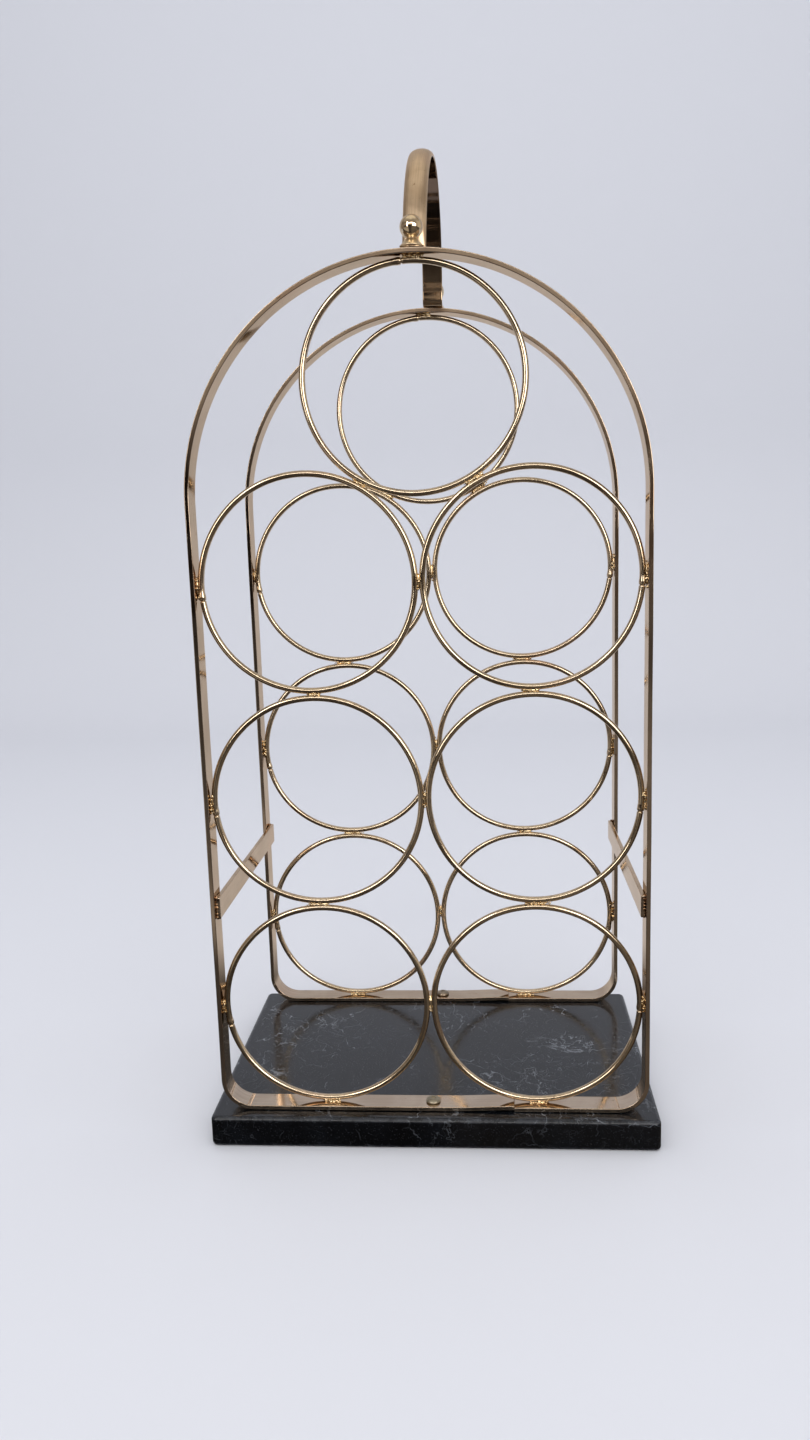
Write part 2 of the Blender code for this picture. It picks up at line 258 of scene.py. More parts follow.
def brass(name, light, dark, smooth, dull, grain=None, relief=0.12, satin=None, dents=0.0):
    """Antique brass plate: slow drift between two tones, brown tarnish specks, fine draw lines.

    The tone mixes dark and light by slow noise, then TARNISH where fine noise and slow noise
    are both high, then ROSE. Roughness goes from smooth to dull with 0.6 of the lines and 0.4
    of the drift. Grain is a pair of scales for the lines along a bar; without it they are an
    even fine pebble. Relief is the strength of the bump. Satin is a roughness to add where the
    brushed mark is 1. There the lines show; where it is 0 the metal is bare, with soft dents
    of the given height. With satin, a dark brown painted shade is mixed in by the shade mark.
    """
    made, tree, shader = new_finish(name, Metallic=1.0)
    shader.inputs["Specular Tint"].default_value = (*EDGE_TINT, 1)
    place = object_place(tree)
    drift = remap(tree, noise(tree, place, 45.0, 4.0, 0.6), 0.35, 0.65)
    tone = blend_colours(tree, drift, (*dark, 1), (*light, 1))
    specks = remap(tree, noise(tree, place, 620.0, 3.0), 0.60, 0.74, 0.0, 0.8)
    patches = remap(tree, noise(tree, place, 60.0, 3.0, 1.5), 0.52, 0.68)
    tone = blend_colours(tree, math_node(tree, "MULTIPLY", specks, patches), tone, (*TARNISH, 1))
    pink = remap(tree, noise(tree, place, 26.0, 2.0, 0.4), 0.55, 0.72, 0.0, 0.4)
    tone = blend_colours(tree, pink, tone, (*ROSE, 1))
    if grain:
        lines = noise(tree, grain_place(tree, *grain), 1.0, 4.0)
    else:
        lines = noise(tree, place, 800.0)
    streak = remap(tree, lines, 0.35, 0.65, 0.88, 1.06)
    tone = add_node(tree, "VectorMath", {"operation": "SCALE"}, _0=tone, Scale=streak).outputs[0]
    worn = math_node(tree, "ADD", math_node(tree, "MULTIPLY", lines, 0.6),
                     math_node(tree, "MULTIPLY", drift, 0.4))
    rough = remap(tree, worn, 0.3, 0.7, smooth, dull)
    if satin:
        brushed = attribute(tree, "brushed")
        # Painted shade: the tone darkens towards a dark brown as far as the mesh's shade mark
        # goes.
        tone = blend_colours(tree, attribute(tree, "painted_shade"), tone, (*PAINTED_SHADE_TONE, 1))
        rough = math_node(tree, "ADD", rough, math_node(tree, "MULTIPLY", brushed, satin))
        bare = math_node(tree, "MULTIPLY", math_node(tree, "SUBTRACT", 1.0, brushed), dents)
        soft = math_node(tree, "MULTIPLY", noise(tree, place, 210.0, 2.0, 0.8), bare)
        lines = math_node(tree, "ADD", math_node(tree, "MULTIPLY", lines, brushed), soft)
    tree.links.new(tone, shader.inputs["Base Color"])
    tree.links.new(rough, shader.inputs["Roughness"])
    bump = add_node(tree, "Bump", Height=lines, Strength=relief, Distance=0.05 * MM)
    tree.links.new(bump.outputs[0], shader.inputs["Normal"])
    return made


def marble():
    """Polished black marble: smoky ground, sparse hairline veins, wisps and pale dust.

    A vein is where the distance to the nearest cell border of a warped cell pattern is almost
    nothing; slow noise decides where veins show at all. A wisp is where stretched noise crosses
    a half. The strongest of these wins at each point, and below the top edge 0.3 of it is left.
    The eased edges are worn paler.
    """
    made, tree, shader = new_finish("black_marble", Metallic=0.0, Specular_IOR_Level=0.4)
    place = object_place(tree)
    warp = add_node(tree, "TexNoise", Vector=place, Scale=70.0, Detail=5.0).outputs["Color"]
    warp = add_node(tree, "VectorMath", {"operation": "SUBTRACT"}, _0=warp, _1=(0.5, 0.5, 0.5))
    warp = add_node(tree, "VectorMath", {"operation": "SCALE"}, _0=warp.outputs[0], Scale=0.02)
    bent = add_node(tree, "VectorMath", {"operation": "ADD"}, _0=place, _1=warp.outputs[0])
    bent = bent.outputs[0]

    def hairlines(scale, width, shown_from, shown_to, mask_scale, strength):
        """Lines of the given width on the cell borders, where the mask noise is high enough."""
        cells = add_node(
            tree, "TexVoronoi", {"feature": "DISTANCE_TO_EDGE"}, Vector=bent, Scale=scale
        )
        line = remap(tree, cells.outputs["Distance"], width, 0.0, 0.0, 1.0)
        mask = remap(tree, noise(tree, place, mask_scale, 2.0, 0.8), shown_from, shown_to)
        broken = remap(tree, noise(tree, place, 260.0, 3.0), 0.38, 0.62)
        line = math_node(tree, "MULTIPLY", math_node(tree, "MULTIPLY", line, mask), broken)
        return math_node(tree, "MULTIPLY", line, strength)

    long_veins = hairlines(20.0, 0.007, 0.46, 0.60, 16.0, 0.75)
    crackle = hairlines(58.0, 0.014, 0.44, 0.66, 30.0, 0.42)
    threads = hairlines(130.0, 0.020, 0.42, 0.66, 24.0, 0.24)
    swirl = add_node(tree, "Mapping", Vector=bent, Rotation=(0.3, 0.5, 0.9), Scale=(1.0, 0.3, 1.0))
    ridge = math_node(tree, "SUBTRACT", noise(tree, swirl.outputs[0], 36.0, 4.0, 0.9), 0.5)
    wisp = remap(tree, math_node(tree, "ABSOLUTE", ridge), 0.009, 0.0)
    wisp = math_node(tree, "MULTIPLY", wisp, remap(tree, noise(tree, place, 22.0), 0.50, 0.66))
    dust = remap(tree, noise(tree, place, 1500.0, 1.0), 0.66, 0.78, 0.0, 0.40)
    veins = math_node(tree, "MAXIMUM", math_node(tree, "MAXIMUM", long_veins, crackle), threads)
    veins = math_node(tree, "MAXIMUM", veins, math_node(tree, "MULTIPLY", wisp, 0.5))
    veins = math_node(tree, "MAXIMUM", veins, dust)
    height = add_node(tree, "SeparateXYZ", Vector=place).outputs["Z"]
    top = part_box("marble_base")[1].z
    flanks = remap(tree, height, top - 2.5 * MM, top - 0.8 * MM, 0.3, 1.0)
    veins = math_node(tree, "MULTIPLY", veins, flanks)
    smoke = remap(tree, noise(tree, bent, 24.0, 5.0, 1.0), 0.3, 0.8)
    ground = blend_colours(tree, smoke, (*STONE_DARK, 1), (*STONE_SMOKY, 1))
    patchy = remap(tree, noise(tree, place, 180.0), 0.3, 0.7, 0.3, 1)
    worn = math_node(tree, "MULTIPLY", attribute(tree, "edge"), patchy)
    ground = blend_colours(tree, worn, ground, (*STONE_WORN, 1))
    tree.links.new(blend_colours(tree, veins, ground, (*VEIN_GREY, 1)),
                   shader.inputs["Base Color"])
    polish = math_node(tree, "ADD", remap(tree, noise(tree, place, 300.0), 0.3, 0.7, 0.12, 0.20),
                       math_node(tree, "MULTIPLY", math_node(tree, "MAXIMUM", worn, veins), 0.22))
    tree.links.new(polish, shader.inputs["Roughness"])
    bump = add_node(
        tree, "Bump", Height=noise(tree, place, 140.0), Strength=0.05, Distance=0.1 * MM
    )
    tree.links.new(bump.outputs[0], shader.inputs["Normal"])
    return made


WIRE_FINISH = brass("antique_brass_wire", (0.65, 0.54, 0.405), (0.55, 0.45, 0.325), 0.08, 0.16,
                    relief=0.03)
BAR_FINISH = brass("antique_brass_bar", (0.57, 0.47, 0.375), (0.49, 0.395, 0.31), 0.04, 0.10,
                   grain=(30.0, 2600.0), relief=0.06, satin=0.085)
HANDLE_FINISH = brass("brushed_brass_handle", (0.67, 0.52, 0.365), (0.52, 0.385, 0.26), 0.05, 0.12,
                      grain=(45.0, 3200.0), relief=0.25, satin=0.26, dents=1.6)
BALL_FINISH = brass("polished_brass_finial", (0.78, 0.65, 0.46), (0.66, 0.52, 0.35), 0.05, 0.12,
                    relief=0.03, satin=0.26)
BRAZE_FINISH = brass("brazing", (0.92, 0.79, 0.56), (0.74, 0.58, 0.36), 0.05, 0.18, relief=0.4)
WELD_FINISH = brass("brown_weld", (0.42, 0.27, 0.16), (0.24, 0.14, 0.08), 0.18, 0.45, relief=0.8)
SCREW_FINISH = brass("dull_screw", (0.36, 0.33, 0.26), (0.22, 0.20, 0.16), 0.30, 0.48)
MARBLE_FINISH = marble()


# ---------------------------------------------------------------- driving sizes

WIRE_RADIUS = 1.55 * MM
BAR_THICK = 2.2 * MM
BAR_CORNER = 0.32 * MM
CORNER_RADIUS = 16.0 * MM
SEAM_X = 41.5 * MM
SEAM_GAP = 0.06 * MM
SEAM_LIFT = 0.9 * MM
SEAM_LIFT_FROM = 8.0 * MM
GAP = 0.3 * MM


def middle(node_name):
    """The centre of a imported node's box: half the sum of its two corners."""
    low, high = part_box(node_name)
    return (low + high) / 2


def frame_depth(side):
    """How far back the middle of a frame lies."""
    return middle(side + "_ring_top").y


ARCH_LOW, ARCH_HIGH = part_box("front_arch")
BAR_DEPTH = ARCH_HIGH.y - ARCH_LOW.y
OUTER_RADIUS = ARCH_HIGH.x
MID_RADIUS = OUTER_RADIUS - BAR_THICK / 2
SPRING_Z = ARCH_HIGH.z - OUTER_RADIUS
BAR_MID_Z = ARCH_LOW.z + BAR_THICK / 2


# ---------------------------------------------------------------- rings

RING_STEPS = 240
WIRE_SIDES = 18
RING_JOINTS = {"left": math.radians(189), "right": math.radians(-7), "top": math.radians(94)}
JOINT_SPREAD = 0.05
DIP, DIP_WIDTH = 0.50 * MM, 0.0045
SWELL, SWELL_AT, SWELL_WIDTH = 0.24 * MM, 0.034, 0.028
MOST_WANDER = 0.08 * MM


def ring_grid(centre, outer_radius, seam_at, upper):
    """A torus: a circle of the wire's radius carried round a circle in the frame's plane.

    The wire wanders in and out by two sine waves of its way round. Where its ends meet it dips
    on a narrow bell curve, and its upper end is a little swollen (upper is the way round from
    the joint to that end, 1 or -1). The steps crowd towards the joint as a power of the way.
    Widths and places along the ring are in radians.
    """
    part = np.linspace(-1, 1, RING_STEPS, endpoint=False)
    away = np.pi * np.sign(part) * np.abs(part) ** 1.5
    turn = seam_at + away
    round_wire = np.linspace(0, TAU, WIRE_SIDES, endpoint=False)
    dip = DIP * np.exp(-((away / DIP_WIDTH) ** 2))
    swell = SWELL * np.exp(-(((away - upper * SWELL_AT) / SWELL_WIDTH) ** 2))
    wander = 0.05 * MM * np.sin(3 * turn + seam_at) + 0.03 * MM * np.sin(7 * turn)
    radius = (outer_radius - WIRE_RADIUS - MOST_WANDER + wander)[:, None]
    wire = (WIRE_RADIUS - dip + swell)[:, None]
    reach = radius + wire * np.cos(round_wire)
    x = centre.x + reach * np.cos(turn)[:, None]
    y = centre.y + wire * np.sin(round_wire)
    z = centre.z + reach * np.sin(turn)[:, None]
    return np.stack([x, y, z], -1)


def make_rings():
    """The fourteen wires, each as wide as its node, with its joint near where it meets the bar."""
    places = ["top"] + [row + "_" + hand for row in ROWS for hand in HANDS]
    for side in SIDES:
        for place in places:
            node_name = side + "_ring_" + place
            low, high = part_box(node_name)
            seam = RING_JOINTS[place.split("_")[-1]] + shuffle.normal(0, JOINT_SPREAD)
            upper = -1 if place.endswith("left") else 1
            grid = ring_grid((low + high) / 2, (high.x - low.x) / 2, seam, upper)
            name = side + "_wire_" + place
            make_piece(name, [(grid, True)], WIRE_FINISH, None, [node_name])


# ---------------------------------------------------------------- arches

def bend(cx, cz, radius, start, end, steps):
    """Stations of a circular bend: place on the circle and the outward angle."""
    angle = np.radians(np.linspace(start, end, steps))
    return np.stack([cx + radius * np.cos(angle), cz + radius * np.sin(angle), angle], -1)


def straight(x0, z0, x1, z1, out, steps):
    """Stations of a straight run without its two ends, which the bends give."""
    part = np.linspace(0, 1, steps + 2)[1:-1]
    angle = np.full(steps, np.radians(out))
    return np.stack([x0 + (x1 - x0) * part, z0 + (z1 - z0) * part, angle], -1)


RAMP_STEPS = 24
END_ROWS = np.array([[0.0], [0.12], [0.3]]) * MM
END_THICKNESS, END_WIDTH = 0.82, 0.96


def bar_stations():
    """The bar's middle line: from the seam to the right, up, over the crown, down and back.

    The left end climbs to the seam on a smooth step, three times the square of the part of
    the way less twice its cube.
    """
    small = CORNER_RADIUS - BAR_THICK / 2
    side = MID_RADIUS - small
    top_of_bend = BAR_MID_Z + small
    end = SEAM_X - SEAM_GAP / 2
    start = SEAM_X + SEAM_GAP / 2
    part = np.linspace(0, 1, RAMP_STEPS)
    lift = SEAM_LIFT * part * part * (3 - 2 * part)
    ramp_x = SEAM_LIFT_FROM + (end - SEAM_LIFT_FROM) * part
    ramp = np.stack([ramp_x, BAR_MID_Z + lift, np.full(RAMP_STEPS, -np.pi / 2)], -1)
    return np.concatenate([
        [[start, BAR_MID_Z, -np.pi / 2]],
        straight(start, BAR_MID_Z, side, BAR_MID_Z, -90, 12),
        bend(side, top_of_bend, small, -90, 0, 20),
        straight(MID_RADIUS, top_of_bend, MID_RADIUS, SPRING_Z, 0, 60),
        bend(0, SPRING_Z, MID_RADIUS, 0, 180, 160),
        straight(-MID_RADIUS, SPRING_Z, -MID_RADIUS, top_of_bend, 180, 60),
        bend(-side, top_of_bend, small, 180, 270, 20),
        straight(-side, BAR_MID_Z, SEAM_LIFT_FROM, BAR_MID_Z, 270, 20),
        ramp,
    ])


def bar_marks(along, section):
    """Per point: way along the bar, place across it, and 1 on the broad faces for the satin."""
    shape = (len(along), len(section))
    half_width = section[:, 1].max()
    broad = np.abs(section[:, 1]) < 0.9 * half_width
    return {"along": [np.broadcast_to(along[:, None], shape)],
            "across": [np.broadcast_to(section[None, :, 1], shape)],
            "brushed": [np.broadcast_to(broad[None, :], shape)]}


def make_arch(side):
    """The bar's section carried along its middle line, in the plane of the frame.

    Above the bottom run the line is pushed inwards by the size of a low sine wave, as a bar
    bent by hand is. Three rows crowd at each end, and the last is a little smaller all round.
    """
    x, z, angle = bar_stations().T
    along = np.concatenate([[0], np.cumsum(np.hypot(np.diff(x), np.diff(z)))])
    wave = 0.10 * MM * np.sin(along * 31 + (0.0 if side == "front" else 2.0))
    wave *= np.clip((z - BAR_MID_Z) / (40 * MM), 0, 1)
    out = np.stack([np.cos(angle), np.zeros_like(x), np.sin(angle)], -1)
    depth = frame_depth(side)
    path = np.stack([x, np.full_like(x, depth), z], -1) - out * np.abs(wave)[:, None]
    section = rounded_section(BAR_THICK, BAR_DEPTH, BAR_CORNER)
    first = path[0] + END_ROWS * (1, 0, 0)
    last = path[-1] - END_ROWS[::-1] * (1, 0, 0)
    path = np.concatenate([first, path[1:-1], last])
    along = np.concatenate([along[0] + END_ROWS[:, 0], along[1:-1], along[-1] - END_ROWS[::-1, 0]])
    out = np.concatenate([out[[0, 0]], out, out[[-1, -1]]])
    out[[0, -1]] *= END_THICKNESS
    back = np.broadcast_to((0.0, 1.0, 0.0), path.shape).copy()
    back[[0, -1]] *= END_WIDTH
    grid = carried(path, out, back, section)
    make_piece(side + "_bar", [(grid, False)], BAR_FINISH, bar_marks(along, section),
               [side + "_arch"])


# ---------------------------------------------------------------- stretchers

TIE_CORNER = 0.4 * MM
TIE_END_SIZE = 0.88


def make_stretcher(hand):
    """A flat bar with eased edges, carried from one frame to the other on a low sine wave."""
    low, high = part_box(hand + "_stretcher")
    centre = (low + high) / 2
    y = np.concatenate([[low.y, low.y + 0.3 * MM], np.linspace(low.y + MM, high.y - MM, 60),
                        [high.y - 0.3 * MM, high.y]])
    shrink = np.ones_like(y)
    shrink[[0, -1]] = TIE_END_SIZE
    section = rounded_section(high.x - low.x, high.z - low.z, TIE_CORNER)
    sway = 0.12 * MM * np.sin(y * 23)
    path = np.stack([centre.x - sway * HANDS[hand], y, np.full_like(y, centre.z)], -1)
    out = np.stack([shrink, 0 * y, 0 * y], -1)
    up = np.stack([0 * y, 0 * y, shrink], -1)
    grid = carried(path, out, up, section)
    make_piece(hand + "_tie_bar", [(grid, False)], BAR_FINISH, bar_marks(y, section),
               [hand + "_stretcher"])


# ---------------------------------------------------------------- handle and finials

HANDLE_WIDTH = 11.0 * MM
HOOP_RADIUS = 56.6 * MM
HOOP_RISE = 0.4 * MM
HOOP_DOME = 3.58 * MM
HOOP_SIDE = 0.5 * MM
FOOT_THICK = 0.8 * MM
FOOT_BEND = 3.7 * MM
FOOT_TIP = 70.0 * MM
HANDLE_TURN = math.radians(1.7)
HANDLE_YAW = math.radians(1.5)
FINIAL_Y = 65.6 * MM
FINIAL_SIDE = 0.4 * MM
FRAME_SHIFT = (frame_depth("front") + frame_depth("rear")) / 2
FOOT_STEPS = 13
CURL_STEPS = 14
HOOP_STEPS = 90
HOOP_EASE = 20
ACROSS_INSIDE = 9
ACROSS_DOME = 25
EDGE_EASE = 0.22 * MM
# Painted shade on the handle's flat side: none below the first height, growing over the second to
# its most.
SHADE_FROM, SHADE_OVER, MOST_SHADE = 12 * MM, 12 * MM, 0.93


def on_crown(turn):
    """Placement of a piece that stands on the crown, turned round the axis of the arch."""
    rise = Matrix.Translation((0, 0, OUTER_RADIUS + GAP))
    return Matrix.Translation((0, 0, SPRING_Z)) @ Matrix.Rotation(turn, 4, "Y") @ rise


def handle_placement():
    """Placement of the handle: swung round upright, then leaned, midway between the frames."""
    middle_of_pair = Matrix.Translation((0, FRAME_SHIFT, 0))
    return middle_of_pair @ on_crown(HANDLE_TURN) @ Matrix.Rotation(-HANDLE_YAW, 4, "Z")


def handle_stations():
    """The flat inner line of the handle as (y, z, way of the domed side, hoop share).

    A foot lies flat, turns up through a small bend, and runs into a circle about the middle.
    The share eases from 0 in the foot to 1 in the hoop, and the rear half mirrors the front.
    """
    reach = HOOP_RADIUS + FOOT_BEND
    drop = FOOT_BEND - HOOP_RISE
    bend_y = math.sqrt(reach * reach - drop * drop)
    start = math.atan2(drop, bend_y)
    foot_y = np.linspace(-FOOT_TIP, -bend_y, FOOT_STEPS + 1)[:-1]
    foot = np.stack([foot_y, 0 * foot_y, np.full(FOOT_STEPS, np.pi / 2), 0 * foot_y], -1)
    part = np.linspace(0, 1, CURL_STEPS)
    way = -np.pi / 2 + (np.pi / 2 - start) * part
    curl = np.stack([-bend_y + FOOT_BEND * np.cos(way), FOOT_BEND + FOOT_BEND * np.sin(way),
                     way + np.pi, 0.5 * part], -1)
    angle = np.linspace(np.pi - start, np.pi / 2, HOOP_STEPS)[1:]
    share = np.minimum(1, 0.5 + np.arange(1, HOOP_STEPS) / HOOP_EASE)
    hoop = np.stack([HOOP_RADIUS * np.cos(angle), HOOP_RISE + HOOP_RADIUS * np.sin(angle),
                     angle, share], -1)
    half = np.concatenate([foot, curl, hoop])
    rear = half[-2::-1] * (-1, 1, -1, 1) + (0, 0, np.pi, 0)
    return np.concatenate([half, rear])


def make_handle():
    """Half-oval bar: flat inside, and outside the sine of the angle across, over eased sides.

    Height over the flat side is side + (dome - side) * sine, and both grow from foot to hoop.
    Two low sine waves along the bar leave the flat side a little rippled, as bending does.
    The flat side is darkened by painted shade, more so up in the hoop.
    """
    y, z, way, share = handle_stations().T
    foot_side = FOOT_THICK * 0.55
    side = foot_side + (HOOP_SIDE - foot_side) * share
    dome = FOOT_THICK + (HOOP_DOME - FOOT_THICK) * share
    turn = np.linspace(0, np.pi, ACROSS_DOME)
    half_width = HANDLE_WIDTH / 2
    inner = np.linspace(-1, 1, ACROSS_INSIDE) * (half_width - 2 * EDGE_EASE)
    across = np.concatenate([
        [-half_width + EDGE_EASE * 0.3, -half_width + EDGE_EASE], inner,
        [half_width - EDGE_EASE, half_width - EDGE_EASE * 0.3], half_width * np.cos(turn),
    ])
    eased = np.concatenate([[EDGE_EASE * 0.9, EDGE_EASE * 0.2], np.zeros(ACROSS_INSIDE),
                            [EDGE_EASE * 0.2, EDGE_EASE * 0.9]])
    on_dome = (np.arange(len(across)) >= len(eased))[None, :]
    crown = np.concatenate([0 * eased, np.sin(turn)])
    domed = side[:, None] + (dome - side)[:, None] * crown[None, :]
    height = np.where(on_dome, domed, np.concatenate([eased, 0 * turn])[None, :])
    x = np.broadcast_to(across[None, :], height.shape)
    grid = np.stack([x, y[:, None] + height * np.cos(way)[:, None],
                     z[:, None] + height * np.sin(way)[:, None]], -1)
    along = np.concatenate([[0], np.cumsum(np.hypot(np.diff(y), np.diff(z)))])
    ripple = 0.035 * MM * np.sin(along * 760) + 0.03 * MM * np.sin(along * 1130 + 1)
    dents = np.where(on_dome, 0, (ripple * share)[:, None])
    outwards = np.stack([0 * way, np.cos(way), np.sin(way)], -1)[:, None]
    grid = grid + dents[..., None] * outwards
    brushed = np.broadcast_to(on_dome.astype(float), x.shape)
    # Painted shade: the flat side darkens from a height up into the hoop, and the dome stays
    # clear.
    up_hoop = np.clip((z - SHADE_FROM) / SHADE_OVER, 0, 1)[:, None]
    painted_shade = np.where(on_dome, 0, MOST_SHADE * up_hoop)
    marks = {"along": [np.broadcast_to(along[:, None], x.shape)], "across": [x],
             "brushed": [brushed], "painted_shade": [np.broadcast_to(painted_shade, x.shape)]}
    grid = placed(grid, handle_placement())
    make_piece("hoop_handle", [(grid, False)], HANDLE_FINISH, marks, ["carry_handle"])


BALL_ROWS = 43
CONE_ROWS = 14


def finial_profile():
    """(radius, height) of the stud, flat base, thin lip, plump cone, neck and ball.

    The cone narrows by the 0.94 power of the way left to the neck, and the ball is a circle
    from the neck to its pole.
    """
    neck, skirt, ball, centre = 2.3 * MM, 5.38 * MM, 5.3 * MM, 8.35 * MM
    part = np.linspace(0, 1, CONE_ROWS)
    cone = np.stack([neck + (skirt - 0.1 * MM - neck) * (1 - part) ** 0.94,
                     0.25 * MM + 3.25 * MM * part], -1)
    low = math.asin((neck + 0.05 * MM) / ball)
    swing = np.linspace(low, np.pi, BALL_ROWS + 1)[:-1]
    round_ball = np.stack([ball * np.sin(swing), centre - ball * np.cos(swing)], -1)
    base = np.array([[0.3, -3.2], [1.4, -3.2], [1.5, -3.0], [1.5, -0.3], [1.6, -0.25],
                     [5.1, -0.25], [5.28, -0.2], [5.37, -0.08], [5.38, 0.05], [5.34, 0.2]]) * MM
    return np.concatenate([base, cone, round_ball])


def make_finial(side):
    """The profile turned on a lathe, and stood on the crown square to it over the foot."""
    way = -1 if side == "front" else 1
    spot = handle_placement() @ Vector((way * FINIAL_SIDE, way * FINIAL_Y, 0))
    turn = math.asin(spot.x / (OUTER_RADIUS + GAP))
    place = Matrix.Translation((0, spot.y, 0)) @ on_crown(turn)
    place = place @ Matrix.Translation((0, 0, FOOT_THICK + GAP))
    grid = placed(turned(finial_profile(), 48), place)
    below_ball = np.arange(len(grid)) < len(grid) - BALL_ROWS
    marks = {"brushed": [np.broadcast_to(below_ball[:, None], grid.shape[:2])]}
    make_piece(side + "_ball", [(grid, False)], BALL_FINISH, marks, [side + "_finial"])


# ---------------------------------------------------------------- screws

SCREW_STEPS = 96
HEAD_HEIGHT = 2.0 * MM
DOME_FROM = 0.5 * MM
DOME_RISE, DOME_TURN = 1.62 * MM, 1.12
RECESS = ((1.32, 0.02), (1.24, -0.10), (1.22, -0.35), (1.20, -1.05), (0.9, -1.12), (0.3, -1.15))


def make_screw(side):
    """A button head with a six-lobed recess.

    Rows run from the shank out under the head, over the dome to the recess edge, down its wall
    and across its floor. The recess radius is its mean plus a cosine of six times the angle.
    """
    low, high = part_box(side + "_base_screw")
    centre = (low + high) / 2
    head, shank, top = (high.x - low.x) / 2, 1.95 * MM, high.z
    under = top - HEAD_HEIGHT
    angle = np.linspace(0, TAU, SCREW_STEPS, endpoint=False)
    lobes = 1 + 0.17 * np.cos(6 * angle)
    arc = np.linspace(0, 1, 12) * DOME_TURN
    dome_radius = head * np.cos(arc)
    dome_height = under + DOME_FROM + DOME_RISE * np.sin(arc)
    lathe = [(0.2 * MM, low.z), (shank * 0.8, low.z), (shank, low.z + 0.6 * MM), (shank, under),
             (shank + 0.1 * MM, under), (head - 0.15 * MM, under), (head, under + 0.15 * MM)]
    lathe += list(zip(dome_radius, dome_height))
    lathe += [(size * MM * lobes, dome_height[-1] + depth * MM) for size, depth in RECESS]
    rows = [np.stack([r * np.cos(angle), r * np.sin(angle), 0 * angle + z], -1) for r, z in lathe]
    grid = np.stack(rows) + np.array([centre.x, centre.y, 0])
    name = side + "_button_screw"
    make_piece(name, [(grid, False)], SCREW_FINISH, None, [side + "_base_screw"])


# ---------------------------------------------------------------- base

def make_slab():
    """A slab by rings of a rounded rectangle: in along the underside, up the sides, in on top.

    Each edge is a quarter circle, and the corners seen from above are small arcs. The edge
    mark is 1 on the eased edges and 0 on the flats. The top edge dips by two crossed sine
    waves, as an edge that has been knocked does.
    """
    low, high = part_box("marble_base")
    width, depth, height = high - low
    ease, corner = 2.0 * MM, 3.2 * MM
    quarter = np.linspace(0, np.pi / 2, 9)
    inwards = np.array([2.6, 4, 12, 40, 74]) * MM
    inset = np.concatenate([inwards[3::-1], ease * (1 - np.sin(quarter)),
                            [0, 0], ease * (1 - np.cos(quarter)), inwards])
    rise = np.concatenate([np.zeros(4), ease * (1 - np.cos(quarter)),
                           [ease * 1.3, height - ease * 1.3],
                           height - ease + ease * np.sin(quarter), np.full(5, height)])
    on_edge = np.concatenate([np.zeros(4), np.sin(2 * quarter), [0, 0], np.sin(2 * quarter),
                              np.zeros(5)])
    rows = []
    for step_in, z in zip(inset, rise):
        radius = max(corner - step_in, 0.4 * MM)
        outline = rounded_section(width - 2 * step_in, depth - 2 * step_in, radius, 8)
        rows.append(np.concatenate([outline, np.full((len(outline), 1), z)], -1))
    grid = np.stack(rows)
    chips = 0.12 * MM * np.sin(grid[..., 0] * 410) * np.sin(grid[..., 1] * 367)
    grid[..., 2] -= np.abs(chips) * on_edge[:, None] * (rise > height / 2)[:, None]
    marks = {"edge": [np.broadcast_to(on_edge[:, None], grid.shape[:2])]}
    make_piece("slab", [(grid, False)], MARBLE_FINISH, marks, ["marble_base"])


# ---------------------------------------------------------------- brazing

def lumps(spots, finish, name):
    """Blobs of filler metal: unit spheres drawn out along their crevice, with a lumpy radius.

    A spot is (x, y, z, crevice angle in the frame's plane, half length, half width, half
    depth). The radius is one plus three sine waves of the direction, with random phases.
    """
    rise = np.linspace(0, np.pi, 10)[1:-1]
    turn = np.linspace(0, TAU, 12, endpoint=False)
    unit = np.stack(np.broadcast_arrays(
        np.cos(rise)[:, None], np.sin(rise)[:, None] * np.cos(turn),
        np.sin(rise)[:, None] * np.sin(turn)), -1)
    tubes = []
    for x, y, z, crevice, length, width, depth in spots:
        phase = shuffle.uniform(0, TAU, 3)
        lump = 1 + 0.13 * np.sin(10 * unit[..., 0] + phase[0])
        lump += 0.10 * np.sin(7 * unit[..., 1] + phase[1])
        lump += 0.08 * np.sin(9 * unit[..., 2] + phase[2])
        shape = unit * lump[..., None] * (length, width, depth)
        c, s = math.cos(crevice), math.sin(crevice)
        run, cross, deep = shape[..., 0], shape[..., 1], shape[..., 2]
        tubes.append((np.stack([x + run * c - cross * s, y + deep, z + run * s + cross * c], -1),
                      False))
    make_piece(name, tubes, finish)


def contact_spots(side):
    """Where wires touch each other or the bar: place, way of the crevice, and if it is the bar.

    Two wires touch halfway between the centres of their rings. A ring touches the bar's inner
    face level with its own centre.
    """
    depth = frame_depth(side)
    centres = {row: [middle(f"{side}_ring_{row}_{hand}") for hand in HANDS] for row in ROWS}
    top = middle(side + "_ring_top")
    upright, level = np.pi / 2, 0.0
    found = []
    for row in ROWS:
        left, right = centres[row]
        found.append(((left + right) / 2, upright, False))
        for hand, ring in zip(HANDS.values(), (left, right)):
            found.append((Vector((hand * (OUTER_RADIUS - BAR_THICK), 0, ring.z)), upright, True))
    for below, above in zip(ROWS, ROWS[1:]):
        for k in range(2):
            found.append(((centres[below][k] + centres[above][k]) / 2, level, False))
    for ring, lean in zip(centres["upper"], (-30, 30)):
        found.append(((ring + top) / 2, math.radians(lean), False))
    found.append((Vector((0, 0, ARCH_HIGH.z - BAR_THICK)), level, True))
    for ring in centres["lower"]:
        found.append((Vector((ring.x, 0, ARCH_LOW.z + BAR_THICK)), level, True))
    return [(spot.x, depth, spot.z, crevice, on_bar) for spot, crevice, on_bar in found]


DROPS_AT_BAR = (34, 0.62 * MM, 0.8 * MM)
DROPS_AT_WIRE = (9, 0.42 * MM, 0.4 * MM)
SMALLEST_DROP = 0.25 * MM


